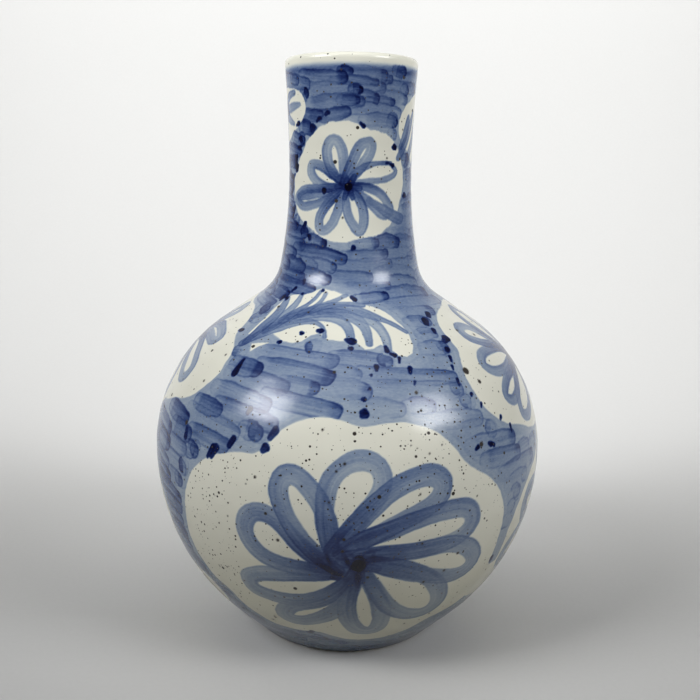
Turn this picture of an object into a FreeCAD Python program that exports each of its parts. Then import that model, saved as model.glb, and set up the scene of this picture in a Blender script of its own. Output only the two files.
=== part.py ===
import FreeCAD, Part
import math
import os

import Sketcher

# A hand-thrown bottle vase: a round body with a tall, gently flared neck.
# It is built as the potter builds it.  Three thrown sections (bowl, dome, neck) are luted
# together with clay slip on bevelled edges, a turned foot ring is keyed into the base with
# more slip, and a glaze coat covers the outside and another lines the inside.
# Millimetres, +Z up, origin on the floor plane under the middle of the foot.

DIMENSIONS = {
    "vase_height": 400.0,
    "belly_radius": 137.0,       # widest point of the glazed outside
    "belly_height": 134.0,       # its height
    "bowl_arc_radius": 154.0,    # outside profile below the widest point
    "heel_angle": 45.5,          # degrees turned by the bowl arc before the trimmed heel
    "dome_arc_radius": 107.0,    # outside profile above the widest point
    "shoulder_angle": 55.8,      # degrees turned by the dome arc before the straight shoulder
    "collar_arc_radius": 33.0,   # hollow curve where the shoulder turns up into the neck
    "neck_arc_radius": 330.0,    # slow taper of the lower neck
    "waist_radius": 41.9,        # narrowest point of the neck
    "waist_height": 326.0,
    "flare_arc_radius": 780.0,   # slow flare from the waist to the mouth
    "wall_thickness": 5.6,
    "floor_thickness": 8.0,
    "glaze_thickness": 0.6,
    "slip_thickness": 0.5,
    "bevel_rise": 3.0,           # how far a luted edge rises from its outside to its inside
    "belly_seam_height": 146.0,
    "neck_seam_height": 268.0,
    "foot_radius": 61.0,
    "foot_width": 9.0,
    "foot_height": 1.5,          # bare clay below the lower edge of the glaze
    "key_depth": 2.5,            # how deep the foot ring is let into the base
    "foot_rounding": 0.8,
}

TURN = 360.0
CENTRE = 3                       # Sketcher's number for an arc's centre
ORIGIN = (-1, 1)                 # Sketcher's name for the sketch origin


def cell(alias):
    """The expression that reads one driving dimension."""
    return "Dimensions." + alias


class Offset:
    """A distance inside the glazed outside, as a number and as an expression."""

    def __init__(self, *aliases):
        self.value = sum(DIMENSIONS[alias] for alias in aliases)
        self.text = " + ".join(cell(alias) for alias in aliases) or "0"


OUTSIDE = Offset()
CLAY_OUTSIDE = Offset("glaze_thickness")
CLAY_INSIDE = Offset("glaze_thickness", "wall_thickness")
INSIDE = Offset("glaze_thickness", "wall_thickness", "glaze_thickness")


class Height:
    """A height above the floor, as a number and as an expression."""

    def __init__(self, *aliases):
        self.value = sum(DIMENSIONS[alias] for alias in aliases)
        self.text = " + ".join(cell(alias) for alias in aliases)


LIP_ROUND = "(2 * Dimensions.glaze_thickness + Dimensions.wall_thickness) / 2"
LIP_ROUND_VALUE = DIMENSIONS["glaze_thickness"] + DIMENSIONS["wall_thickness"] / 2.0
LIP_CENTRE_HEIGHT = "%s - %s" % (cell("vase_height"), LIP_ROUND)


class Curve:
    """One stretch of the wall's profile: an arc, or a straight run that leaves an arc."""

    def __init__(self, kind, centre, low, high, grows, radius, lean=None, centre_x=None, centre_y=None):
        self.kind = kind            # "arc" or "line"
        self.centre = centre        # the same for every offset
        self.low = low              # direction from the centre to the lower end, radians
        self.high = high            # and to the upper end
        self.grows = grows          # +1 where moving inwards makes the arc larger, -1 smaller
        self.radius = radius        # alias of the outside's radius
        self.lean = lean            # expression for a line's direction
        self.centre_x = centre_x    # expressions that place an arc's centre, or None where
        self.centre_y = centre_y    # tangency to its neighbours places it

    def radius_at(self, offset):
        return DIMENSIONS[self.radius] + self.grows * offset.value

    def point(self, angle, offset):
        reach = self.radius_at(offset)
        return self.centre + FreeCAD.Vector(math.cos(angle), math.sin(angle), 0) * reach

    def angle_at(self, height, offset):
        """The direction from the centre to an arc's point at a height."""
        rise = math.asin((height - self.centre.y) / self.radius_at(offset))
        return rise if self.grows < 0 else math.pi - rise

    def point_at(self, height, offset):
        """The profile's point at a height."""
        if self.kind == "arc":
            return self.point(self.angle_at(height, offset), offset)
        touch = self.point(self.low, offset)
        along = (height - touch.y) / math.cos(self.low)
        return touch + FreeCAD.Vector(-math.sin(self.low), math.cos(self.low), 0) * along

    @property
    def low_end(self):
        """Sketcher numbers an arc's ends counter-clockwise, so a hollow arc starts at its top."""
        return 1 if self.grows < 0 or self.kind == "line" else 2

    @property
    def high_end(self):
        return 3 - self.low_end


def profile_curves():
    """The profile from the foot to the mouth.  Neighbours are tangent to each other."""
    dim = DIMENSIONS
    heel = -math.radians(dim["heel_angle"])
    slope = math.radians(dim["shoulder_angle"])
    bowl_centre = FreeCAD.Vector(dim["belly_radius"] - dim["bowl_arc_radius"], dim["belly_height"], 0)
    dome_centre = FreeCAD.Vector(dim["belly_radius"] - dim["dome_arc_radius"], dim["belly_height"], 0)
    neck_centre = FreeCAD.Vector(dim["waist_radius"] + dim["neck_arc_radius"], dim["waist_height"], 0)
    flare_centre = FreeCAD.Vector(dim["waist_radius"] + dim["flare_arc_radius"], dim["waist_height"], 0)

    # The collar's centre stands one radius off the shoulder line, and it touches the neck arc
    # from inside, so it lies on a circle about the neck arc's centre.
    normal = FreeCAD.Vector(math.cos(slope), math.sin(slope), 0)
    uphill = FreeCAD.Vector(-math.sin(slope), math.cos(slope), 0)
    start = dome_centre + normal * (dim["dome_arc_radius"] + dim["collar_arc_radius"]) - neck_centre
    along = start.dot(uphill)
    reach = dim["neck_arc_radius"] - dim["collar_arc_radius"]
    travel = -along + math.sqrt(along ** 2 - start.dot(start) + reach ** 2)
    to_collar = start + uphill * travel
    contact = math.atan2(to_collar.y, to_collar.x) % (2 * math.pi)

    belly = cell("belly_height")
    waist = cell("waist_height")
    return [
        Curve("line", bowl_centre, heel, heel, -1, "bowl_arc_radius",
              lean="90 - Dimensions.heel_angle"),
        Curve("arc", bowl_centre, heel, 0.0, -1, "bowl_arc_radius",
              centre_x="Dimensions.bowl_arc_radius - Dimensions.belly_radius", centre_y=belly),
        Curve("arc", dome_centre, 0.0, slope, -1, "dome_arc_radius",
              centre_x="Dimensions.belly_radius - Dimensions.dome_arc_radius", centre_y=belly),
        Curve("line", dome_centre, slope, slope, -1, "dome_arc_radius",
              lean="90 + Dimensions.shoulder_angle"),
        Curve("arc", neck_centre + to_collar, slope + math.pi, contact, 1, "collar_arc_radius"),
        Curve("arc", neck_centre, contact, math.pi, 1, "neck_arc_radius",
              centre_x="Dimensions.waist_radius + Dimensions.neck_arc_radius", centre_y=waist),
        Curve("arc", flare_centre, math.pi, math.pi / 2, 1, "flare_arc_radius",
              centre_x="Dimensions.waist_radius + Dimensions.flare_arc_radius", centre_y=waist),
    ]


CURVES = profile_curves()


def curve_heights(index, offset):
    """The heights of the lower and upper end of a stretch of the profile, on one offset."""
    curve = CURVES[index]
    if curve.kind == "arc":
        return curve.point(curve.low, offset).y, curve.point(curve.high, offset).y
    below = curve_heights(index - 1, offset)[1] if index else 0.0
    return below, curve_heights(index + 1, offset)[0]


class Profile:
    """A closed half-profile in a body's XZ plane, drawn stretch by stretch."""

    def __init__(self, body, name):
        self.sketch = body.newObject("Sketcher::SketchObject", name)
        self.sketch.AttachmentSupport = [(origin_plane(body, "XZ_Plane"), "")]
        self.sketch.MapMode = "FlatFace"

    def constrain(self, *arguments):
        return self.sketch.addConstraint(Sketcher.Constraint(*arguments))

    def drive(self, expression, *arguments):
        """Adds a dimension and binds it to the spreadsheet."""
        index = self.constrain(*arguments)
        self.sketch.setExpression("Constraints[%d]" % index, expression)

    def at_height(self, height, geometry, end, value):
        self.drive(height, "DistanceY", *ORIGIN, geometry, end, value)

    def at_reach(self, expression, geometry, end, value):
        self.drive(expression, "DistanceX", *ORIGIN, geometry, end, value)

    def line(self, start, end):
        return self.sketch.addGeometry(Part.LineSegment(start, end), False)

    def arc(self, centre, radius, first, second):
        circle = Part.Circle(centre, FreeCAD.Vector(0, 0, 1), radius)
        low, high = min(first, second), max(first, second)
        return self.sketch.addGeometry(Part.ArcOfCircle(circle, low, high), False)

    def point_of(self, vertex):
        return self.sketch.getPoint(*vertex)

    def join(self, first, second):
        self.constrain("Coincident", *first, *second)

    def close(self, first, second):
        """A straight edge between two vertices that are already placed."""
        edge = self.line(self.point_of(first), self.point_of(second))
        self.join((edge, 1), first)
        self.join((edge, 2), second)
        return edge

    def wall(self, offset, low, high=None):
        """The profile's stretches between two heights; without high it ends free at the mouth.

        Returns the vertices at its lower and upper ends.
        """
        bottom = low.value
        top = high.value if high else DIMENSIONS["vase_height"] - LIP_ROUND_VALUE
        first_vertex = None
        last = None
        for index, curve in enumerate(CURVES):
            below, above = curve_heights(index, offset)
            if above <= bottom or below >= top:
                continue
            geometry = self.draw_curve(curve, offset, max(below, bottom), min(above, top))
            if last is None:
                first_vertex = (geometry, curve.low_end)
                self.at_height(low.text, *first_vertex, bottom)
            else:
                self.constrain("Tangent", *last, geometry, curve.low_end)
            self.place_curve(curve, geometry, offset, last is None)
            last = (geometry, curve.high_end)
        if high:
            self.at_height(high.text, *last, top)
        return first_vertex, last

    def draw_curve(self, curve, offset, bottom, top):
        if curve.kind == "line":
            return self.line(curve.point_at(bottom, offset), curve.point_at(top, offset))
        first = curve.angle_at(bottom, offset)
        second = curve.angle_at(top, offset)
        return self.arc(curve.centre, curve.radius_at(offset), first, second)

    def place_curve(self, curve, geometry, offset, is_first):
        """Radius and centre of one stretch; tangency supplies what is left out."""
        if curve.kind == "line":
            self.drive(curve.lean, "Angle", geometry, math.pi / 2 + curve.low)
            return
        sign = "+" if curve.grows > 0 else "-"
        radius = "%s %s (%s)" % (cell(curve.radius), sign, offset.text)
        self.drive(radius, "Radius", geometry, curve.radius_at(offset))
        if curve.centre_y is None:
            return
        self.at_height(curve.centre_y, geometry, CENTRE, curve.centre.y)
        if not is_first and curve.radius in ("dome_arc_radius", "flare_arc_radius"):
            return
        if curve.centre.x < 0:
            self.drive(curve.centre_x, "DistanceX", geometry, CENTRE, *ORIGIN, -curve.centre.x)
        else:
            self.at_reach(curve.centre_x, geometry, CENTRE, curve.centre.x)

    def lip_centre(self):
        """The middle of the rounded lip, halfway through the glazed wall."""
        flare = CURVES[-1]
        middle = Offset("glaze_thickness")
        middle.value = LIP_ROUND_VALUE
        height = DIMENSIONS["vase_height"] - LIP_ROUND_VALUE
        return flare.point(flare.angle_at(height, middle), middle)

    def whole_lip(self, outer_end, inner_end, radius):
        """The half-round between the two faces of a wall, which set its size."""
        centre = self.lip_centre()
        arc = self.arc(centre, radius, 0.0, math.pi)
        self.constrain("Tangent", *outer_end, arc, 1)
        self.constrain("Tangent", arc, 2, *inner_end)
        self.at_height(LIP_CENTRE_HEIGHT, arc, CENTRE, centre.y)

    def half_lip(self, wall_end, outward, radius, radius_text):
        """A quarter-round from the end of the wall to the lip's crest."""
        centre = self.lip_centre()
        first, second = (0.0, math.pi / 2) if outward else (math.pi / 2, math.pi)
        arc = self.arc(centre, radius, first, second)
        crest, foot = (2, 1) if outward else (1, 2)
        self.constrain("Tangent", *wall_end, arc, foot)
        self.drive(radius_text, "Radius", arc, radius)
        self.at_height(LIP_CENTRE_HEIGHT, arc, CENTRE, centre.y)
        self.constrain("Vertical", arc, crest, arc, CENTRE)
        return arc, crest


def origin_plane(body, role):
    return next(item for item in body.Origin.OriginFeatures if item.Role == role)


def make_dimensions(doc):
    sheet = doc.addObject("Spreadsheet::Sheet", "Dimensions")
    for row, (alias, value) in enumerate(DIMENSIONS.items(), start=1):
        sheet.set("A%d" % row, alias.replace("_", " "))
        sheet.set("B%d" % row, str(value))
        sheet.setAlias("B%d" % row, alias)
    return sheet


def make_body(doc, name):
    body = doc.addObject("PartDesign::Body", name)
    body.Label = name
    return body


def revolve(body, profile):
    turned = body.newObject("PartDesign::Revolution", body.Name + "_turned")
    turned.Profile = profile.sketch
    turned.ReferenceAxis = (profile.sketch, ["V_Axis"])
    turned.Angle = TURN
    profile.sketch.Visibility = False
    return turned


def ring_sketch(body, name, inner, outer, height):
    """Two concentric circles in a plane parallel to the floor."""
    sketch = body.newObject("Sketcher::SketchObject", name)
    sketch.AttachmentSupport = [(origin_plane(body, "XY_Plane"), "")]
    sketch.MapMode = "FlatFace"
    sketch.setExpression("AttachmentOffset.Base.z", height)
    for radius_text, guess in ((inner, 10.0), (outer, 20.0)):
        circle = Part.Circle(FreeCAD.Vector(0, 0, 0), FreeCAD.Vector(0, 0, 1), guess)
        geometry = sketch.addGeometry(circle, False)
        sketch.addConstraint(Sketcher.Constraint("Coincident", geometry, CENTRE, *ORIGIN))
        index = sketch.addConstraint(Sketcher.Constraint("Radius", geometry, guess))
        sketch.setExpression("Constraints[%d]" % index, radius_text)
    sketch.Visibility = False
    return sketch


FOOT_OUTER = "Dimensions.foot_radius"
FOOT_INNER = "Dimensions.foot_radius - Dimensions.foot_width"
GROOVE_OUTER = FOOT_OUTER + " + Dimensions.slip_thickness"
GROOVE_INNER = FOOT_INNER + " - Dimensions.slip_thickness"

BASE = Height("foot_height")
FLOOR = Height("foot_height", "floor_thickness")
GLAZED_FLOOR = Height("foot_height", "floor_thickness", "glaze_thickness")


def seam_edges(seam, *above):
    """Heights of a bevelled edge at the wall's outside and inside."""
    return Height(seam, *above), Height(seam, "bevel_rise", *above)


def make_lower_bowl(doc):
    """The thrown bowl with its floor, cut square for the foot and bevelled at the top."""
    body = make_body(doc, "lower_bowl")
    profile = Profile(body, "bowl_profile")
    outer_top, inner_top = seam_edges("belly_seam_height")
    outer = profile.wall(CLAY_OUTSIDE, BASE, outer_top)
    inner = profile.wall(CLAY_INSIDE, FLOOR, inner_top)
    profile.close(outer[1], inner[1])
    axis = profile.line(FreeCAD.Vector(0, FLOOR.value, 0), FreeCAD.Vector(0, BASE.value, 0))
    profile.constrain("PointOnObject", axis, 1, -2)
    profile.constrain("PointOnObject", axis, 2, -2)
    floor = profile.close(inner[0], (axis, 1))
    base = profile.close((axis, 2), outer[0])
    profile.constrain("Horizontal", floor)
    profile.constrain("Horizontal", base)
    revolve(body, profile)

    groove = body.newObject("PartDesign::Pocket", "foot_groove")
    groove.Profile = ring_sketch(body, "groove_outline", GROOVE_INNER, GROOVE_OUTER, BASE.text)
    groove.setExpression("Length", cell("key_depth"))
    groove.Reversed = True
    return body


def make_wall_ring(doc, name, low, high):
    """A stretch of bare wall between two bevelled edges."""
    body = make_body(doc, name)
    profile = Profile(body, name + "_profile")
    outer = profile.wall(CLAY_OUTSIDE, low[0], high[0])
    inner = profile.wall(CLAY_INSIDE, low[1], high[1])
    profile.close(outer[1], inner[1])
    profile.close(inner[0], outer[0])
    revolve(body, profile)
    return body


def make_neck(doc):
    """The thrown neck, bevelled below and rounded at the lip."""
    body = make_body(doc, "neck")
    profile = Profile(body, "neck_profile")
    low = seam_edges("neck_seam_height", "slip_thickness")
    outer = profile.wall(CLAY_OUTSIDE, low[0])
    inner = profile.wall(CLAY_INSIDE, low[1])
    profile.whole_lip(outer[1], inner[1], DIMENSIONS["wall_thickness"] / 2.0)
    profile.close(inner[0], outer[0])
    revolve(body, profile)
    return body


def make_glaze(doc, name, surface, clay, outward, low, floor=None):
    """A coat of even thickness over the clay, from its lower edge to the lip's crest."""
    body = make_body(doc, name)
    profile = Profile(body, name + "_profile")
    surface_wall = profile.wall(surface, floor or low)
    clay_wall = profile.wall(clay, low)
    clay_radius = DIMENSIONS["wall_thickness"] / 2.0
    clay_text = cell("wall_thickness") + " / 2"
    surface_crest = profile.half_lip(surface_wall[1], outward, LIP_ROUND_VALUE, LIP_ROUND)
    clay_crest = profile.half_lip(clay_wall[1], outward, clay_radius, clay_text)
    profile.close(surface_crest, clay_crest)
    if floor is None:
        profile.close(surface_wall[0], clay_wall[0])
    else:
        axis = profile.line(FreeCAD.Vector(0, floor.value, 0), FreeCAD.Vector(0, low.value, 0))
        profile.constrain("PointOnObject", axis, 1, -2)
        profile.constrain("PointOnObject", axis, 2, -2)
        top = profile.close(surface_wall[0], (axis, 1))
        bottom = profile.close((axis, 2), clay_wall[0])
        profile.constrain("Horizontal", top)
        profile.constrain("Horizontal", bottom)
    revolve(body, profile)
    return body


def make_foot_ring(doc):
    """A turned ring of bare clay, keyed into the base and eased where it meets the floor."""
    body = make_body(doc, "foot_ring")
    pad = body.newObject("PartDesign::Pad", "foot_blank")
    pad.Profile = ring_sketch(body, "foot_outline", FOOT_INNER, FOOT_OUTER, "0 mm")
    pad.setExpression("Length", "Dimensions.foot_height + Dimensions.key_depth - Dimensions.slip_thickness")
    doc.recompute()
    floor_edges = [
        "Edge%d" % number
        for number, edge in enumerate(pad.Shape.Edges, start=1)
        if edge.BoundBox.ZMax < 1e-6
    ]
    easing = body.newObject("PartDesign::Fillet", "foot_easing")
    easing.Base = (pad, floor_edges)
    easing.setExpression("Radius", cell("foot_rounding"))
    return body


def make_foot_slip(doc):
    """The slip that beds the foot ring: it fills the groove round the ring's upper edge."""
    body = make_body(doc, "foot_slip_seam")
    fill = body.newObject("PartDesign::Pad", "slip_fill")
    fill.Profile = ring_sketch(body, "slip_outline", GROOVE_INNER, GROOVE_OUTER, BASE.text)
    fill.setExpression("Length", cell("key_depth"))
    seat = body.newObject("PartDesign::Pocket", "ring_seat")
    seat.Profile = ring_sketch(body, "seat_outline", FOOT_INNER, FOOT_OUTER, BASE.text)
    seat.setExpression("Length", "Dimensions.key_depth - Dimensions.slip_thickness")
    seat.Reversed = True
    return body


def check(doc, bodies):
    """Stops before anything is written if a feature or a solid is wrong."""
    for item in doc.Objects:
        if any(word in item.State for word in ("Invalid", "Error")):
            raise RuntimeError("%s is in state %s" % (item.Name, item.State))
    for item in doc.findObjects("Sketcher::SketchObject"):
        if item.solve() != 0 or item.FullyConstrained is False:
            raise RuntimeError("%s is not fully constrained" % item.Name)
    for body in bodies:
        shape = body.Shape
        if shape.isNull() or not shape.isValid() or len(shape.Solids) != 1:
            raise RuntimeError("%s is not one valid solid" % body.Label)


def check_groove(bowl):
    """The groove has to take clay away, not add or miss it."""
    turned, groove = bowl.Group[1], bowl.Tip
    depth = DIMENSIONS["key_depth"]
    outer = DIMENSIONS["foot_radius"] + DIMENSIONS["slip_thickness"]
    inner = DIMENSIONS["foot_radius"] - DIMENSIONS["foot_width"] - DIMENSIONS["slip_thickness"]
    expected = math.pi * (outer ** 2 - inner ** 2) * depth
    removed = turned.Shape.Volume - groove.Shape.Volume
    if abs(removed - expected) > 1.0:
        raise RuntimeError("the foot groove removes %.1f, not %.1f" % (removed, expected))


def main():
    doc = FreeCAD.newDocument("vase")
    make_dimensions(doc)
    doc.recompute()
    bowl = make_lower_bowl(doc)
    bodies = [
        bowl,
        make_wall_ring(doc, "belly_slip_seam", seam_edges("belly_seam_height"),
                       seam_edges("belly_seam_height", "slip_thickness")),
        make_wall_ring(doc, "upper_dome", seam_edges("belly_seam_height", "slip_thickness"),
                       seam_edges("neck_seam_height")),
        make_wall_ring(doc, "neck_slip_seam", seam_edges("neck_seam_height"),
                       seam_edges("neck_seam_height", "slip_thickness")),
        make_neck(doc),
        make_foot_slip(doc),
        make_foot_ring(doc),
        make_glaze(doc, "outer_glaze", OUTSIDE, CLAY_OUTSIDE, True, BASE),
        make_glaze(doc, "inner_glaze", INSIDE, CLAY_INSIDE, False, FLOOR, GLAZED_FLOOR),
    ]
    doc.recompute()
    check(doc, bodies)
    check_groove(bowl)
    os.makedirs("parts", exist_ok=True)
    for body in bodies:
        body.Shape.exportStep("parts/%s.step" % body.Label)
        box = body.Shape.optimalBoundingBox()
        print("%-16s volume %10.1f  z %6.2f to %6.2f  radius %6.2f"
              % (body.Label, body.Shape.Volume, box.ZMin, box.ZMax, box.XMax))


main()
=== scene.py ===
import math

import bpy
import numpy as np
from mathutils import Matrix, Vector


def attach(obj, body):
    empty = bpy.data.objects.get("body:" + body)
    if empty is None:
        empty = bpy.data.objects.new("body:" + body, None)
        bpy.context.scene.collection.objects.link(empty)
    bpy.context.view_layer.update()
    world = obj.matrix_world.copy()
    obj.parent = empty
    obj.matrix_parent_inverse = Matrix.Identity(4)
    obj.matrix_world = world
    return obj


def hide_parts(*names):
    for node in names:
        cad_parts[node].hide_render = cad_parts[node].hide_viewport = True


# The looks of a hand-painted bottle vase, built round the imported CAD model.
# The glaze is remade as a dense turned mesh whose points carry the painting: how much cobalt
# lies on each and how thick the iron specks lie.  Node materials turn those numbers into
# colour.  Painting sizes are in millimetres.  Places round the vase are in degrees: 0 faces
# the camera and positive goes round to the right.  Places up the vase are millimetres along
# its outline, from the glaze's lower edge.

MM = 0.001
GRID = 0.65                 # mm between painted points
FULL_TURN = 2.0 * math.pi
rng = np.random.default_rng(20)

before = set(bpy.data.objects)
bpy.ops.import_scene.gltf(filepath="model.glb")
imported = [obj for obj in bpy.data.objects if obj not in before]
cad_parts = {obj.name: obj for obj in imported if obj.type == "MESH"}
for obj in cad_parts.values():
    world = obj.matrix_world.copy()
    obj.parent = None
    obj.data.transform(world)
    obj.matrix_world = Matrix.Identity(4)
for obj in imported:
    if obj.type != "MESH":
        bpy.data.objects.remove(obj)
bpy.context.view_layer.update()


# ---------------------------------------------------------------- the turned surface

def face_points(node, side):
    """Radius and height (mm) of the points on a turned node's outward (+1) or inward (-1) face."""
    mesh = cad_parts[node].data
    points = {}
    for face in mesh.polygons:
        centre = face.center
        reach = math.hypot(centre.x, centre.y)
        lean = side * (face.normal.x * centre.x + face.normal.y * centre.y) / max(reach, 1e-6)
        if lean > 0.05:
            for index in face.vertices:
                x, y, z = mesh.vertices[index].co
                points[round(z / MM, 2)] = math.hypot(x, y) / MM
    heights = np.array(sorted(points))
    return np.array([points[z] for z in heights]), heights


def fill_long_spans(radii, heights, longest=8.0):
    """The same outline with extra points along its straight runs."""
    filled = [(radii[0], heights[0])]
    for r, z in zip(radii[1:], heights[1:]):
        r0, z0 = filled[-1]
        count = int(math.hypot(r - r0, z - z0) // longest)
        for step in range(1, count + 1):
            part = step / (count + 1)
            filled.append((r0 + part * (r - r0), z0 + part * (z - z0)))
        filled.append((r, z))
    return np.array(filled)


def travelled(points):
    """Distance along a path at each of its points."""
    return np.concatenate([[0.0], np.cumsum(np.hypot(*np.diff(points, axis=0).T))])


def spline(knots, values, at):
    """Natural cubic spline through values at knots."""
    span = np.diff(knots)
    size = len(knots)
    system = np.eye(size)
    right = np.zeros(size)
    for k in range(1, size - 1):
        system[k, k - 1:k + 2] = span[k - 1], 2 * (span[k - 1] + span[k]), span[k]
        right[k] = 6 * ((values[k + 1] - values[k]) / span[k] - (values[k] - values[k - 1]) / span[k - 1])
    bend = np.linalg.solve(system, right)
    k = np.clip(np.searchsorted(knots, at) - 1, 0, size - 2)
    below, above = knots[k + 1] - at, at - knots[k]
    curve = (bend[k] * below ** 3 + bend[k + 1] * above ** 3) / (6 * span[k])
    start = (values[k] / span[k] - bend[k] * span[k] / 6) * below
    end = (values[k + 1] / span[k] - bend[k + 1] * span[k] / 6) * above
    return curve + start + end


def smooth_outline(node, side, spacing):
    """The node's face as evenly spaced points: distance along it, radius and height (mm)."""
    points = fill_long_spans(*face_points(node, side))
    knots = travelled(points)
    at = np.linspace(0.0, knots[-1], int(knots[-1] / spacing) + 1)
    return at, spline(knots, points[:, 0], at), spline(knots, points[:, 1], at)


along, radius, height = smooth_outline("outer_glaze", +1, GRID)
rows = len(along)
columns = int(FULL_TURN * radius.max() / GRID)
turn = (np.arange(columns) / columns - 0.5) * FULL_TURN
lip_crest = along[-1]


def row_at(distance):
    """Index of the painted row nearest a distance up the outline."""
    return int(np.clip(round(distance / lip_crest * (rows - 1)), 0, rows - 1))


# ---------------------------------------------------------------- noise

def smooth_step(low, high, value):
    part = np.clip((value - low) / (high - low), 0.0, 1.0)
    return part * part * (3.0 - 2.0 * part)


def look_up(table, v, u):
    """Values between a table's entries; both directions wrap."""
    v0, u0 = np.floor(v).astype(int), np.floor(u).astype(int)
    fv, fu = smooth_step(0.0, 1.0, v - v0), smooth_step(0.0, 1.0, u - u0)
    high, wide = table.shape
    low = table[v0 % high, u0 % wide] * (1 - fu) + table[v0 % high, (u0 + 1) % wide] * fu
    top = table[(v0 + 1) % high, u0 % wide] * (1 - fu) + table[(v0 + 1) % high, (u0 + 1) % wide] * fu
    return low * (1 - fv) + top * fv


def surface_noise(size, seed):
    """Soft noise from -1 to 1 over the painted grid, with features about size mm across."""
    around = max(4, int(FULL_TURN * radius.max() * 0.75 / size))
    table = np.random.default_rng(seed).uniform(-1.0, 1.0, (int(lip_crest / size) + 3, around))
    return look_up(table, (along / size)[:, None], ((turn / FULL_TURN + 0.5) * around)[None, :])


edge_wobble = surface_noise(9.0, 3) * 0.7 + surface_noise(2.6, 4) * 0.3
wash_cloud = surface_noise(26.0, 5) * 0.6 + surface_noise(8.0, 6) * 0.4
row_sway = surface_noise(60.0, 7) * 3.5
bristle_table = np.random.default_rng(8).uniform(-1.0, 1.0, (97, 61))


def bristles(place, side, offset):
    """Streaks along a stroke, from -1 to 1."""
    fine = look_up(bristle_table, side / 0.9 + offset, place / 22.0 + offset)
    broad = look_up(bristle_table, side / 2.3 + 2 * offset, place / 34.0)
    return 0.5 * fine + 0.5 * broad


# ---------------------------------------------------------------- the canvas

cobalt = np.zeros((rows, columns))              # 1 is a light wash, 3 a dark blue, 5 a pool
outside = np.full((rows, columns), 200.0)       # mm outside the nearest white reserve
speckle = np.full((rows, columns), 0.22)        # share of the possible iron specks present
iron = np.zeros((rows, columns))                # single large iron spots


class Window:
    """A patch of the canvas with flat coordinates in mm about its own middle."""

    def __init__(self, degrees, distance, half_turn, half_height):
        self.middle = row_at(distance)
        self.centre = math.radians(degrees)
        span = int(half_height / GRID) + 2
        self.rows = np.arange(max(self.middle - span, 0), min(self.middle + span, rows - 1) + 1)
        first = int(math.floor((self.centre - half_turn) / FULL_TURN * columns + columns / 2))
        last = int(math.ceil((self.centre + half_turn) / FULL_TURN * columns + columns / 2))
        wrapped = np.arange(first, min(last, first + columns - 1) + 1)
        self.turns = (wrapped / columns - 0.5) * FULL_TURN
        self.index = np.ix_(self.rows, wrapped % columns)


class Strip(Window):
    """For ground strokes: x runs round the vase and y up its wall."""

    def __init__(self, degrees, distance, half_length, half_height):
        span = int(half_height / GRID) + 2
        middle = row_at(distance)
        narrowest = radius[max(middle - span, 0):middle + span + 1].min()
        super().__init__(degrees, distance, half_length / narrowest, half_height)
        self.x = radius[self.rows][:, None] * (self.turns[None, :] - self.centre)
        self.y = np.repeat((along[self.rows] - distance)[:, None], len(self.turns), axis=1)
        self.near = np.ones(self.x.shape, bool)


class Patch(Window):
    """For motifs: distances and directions from the middle are true on the curved wall, which
    is taken to be part of a ball of that radius."""

    def __init__(self, degrees, distance, reach, ball):
        span = int(reach / GRID) + 2
        middle = row_at(distance)
        narrowest = radius[max(middle - span, 0):middle + span + 1].min()
        half_turn = min(reach / narrowest * 1.05, 0.95 * math.pi)
        super().__init__(degrees, distance, half_turn, reach)
        lean = self.turns[None, :] - self.centre
        r = radius[self.rows][:, None]
        side = r * np.sin(lean)
        depth = r * np.cos(lean) - radius[middle]
        rise = height[self.rows][:, None] - height[middle]
        out = radius[middle + 1] - radius[middle - 1]
        up = height[middle + 1] - height[middle - 1]
        climb = (depth * out + rise * up) / math.hypot(out, up)
        chord = np.sqrt(side ** 2 + depth ** 2 + rise ** 2)
        arc = 2 * ball * np.arcsin(np.clip(chord / (2 * ball), 0.0, 1.0))
        stretch = arc / np.maximum(np.hypot(side, climb), 1e-6)
        self.x = side * stretch
        self.y = climb * stretch
        self.near = chord < 1.7 * reach


# ---------------------------------------------------------------- brush strokes

def curve_through(points, count=40):
    """A smooth path through a few given points."""
    points = np.array(points, float)
    knots = travelled(points)
    at = np.linspace(0.0, knots[-1], count)
    return np.stack([spline(knots, points[:, 0], at), spline(knots, points[:, 1], at)], axis=1)


def closest(window, path, near, corner=2.0):
    """Points of the window near a path: their mask, gap, place along it and signed side, and
    the path's length.  The path's ends are round where corner is 2 and squarer above that."""
    low, high = path.min(axis=0) - near, path.max(axis=0) + near
    mask = window.near & (window.x > low[0]) & (window.x < high[0])
    mask &= (window.y > low[1]) & (window.y < high[1])
    x, y = window.x[mask], window.y[mask]
    gap = np.full(x.shape, 1e9)
    place = np.zeros(x.shape)
    side = np.zeros(x.shape)
    start = 0.0
    for (x0, y0), (x1, y1) in zip(path[:-1], path[1:]):
        dx, dy = x1 - x0, y1 - y0
        length = max(math.hypot(dx, dy), 1e-6)
        ahead = ((x - x0) * dx + (y - y0) * dy) / length
        across = ((y - y0) * dx - (x - x0) * dy) / length
        reached = np.clip(ahead, 0.0, length)
        here = (np.abs(ahead - reached) ** corner + np.abs(across) ** corner) ** (1.0 / corner)
        nearer = here < gap
        gap = np.where(nearer, here, gap)
        place = np.where(nearer, start + reached, place)
        side = np.where(nearer, across, side)
        start += length
    return mask, gap, place, side, start


def spread(values, part):
    """A few evenly spread values, read at places from 0 to 1."""
    return np.interp(part, np.linspace(0.0, 1.0, len(values)), values)


EDGE_BLUR = 0.8             # mm over which a stroke's edge fades
RIM_WIDTH = 1.1             # mm: the dark line where a stroke's wash dried along its edge


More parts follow.
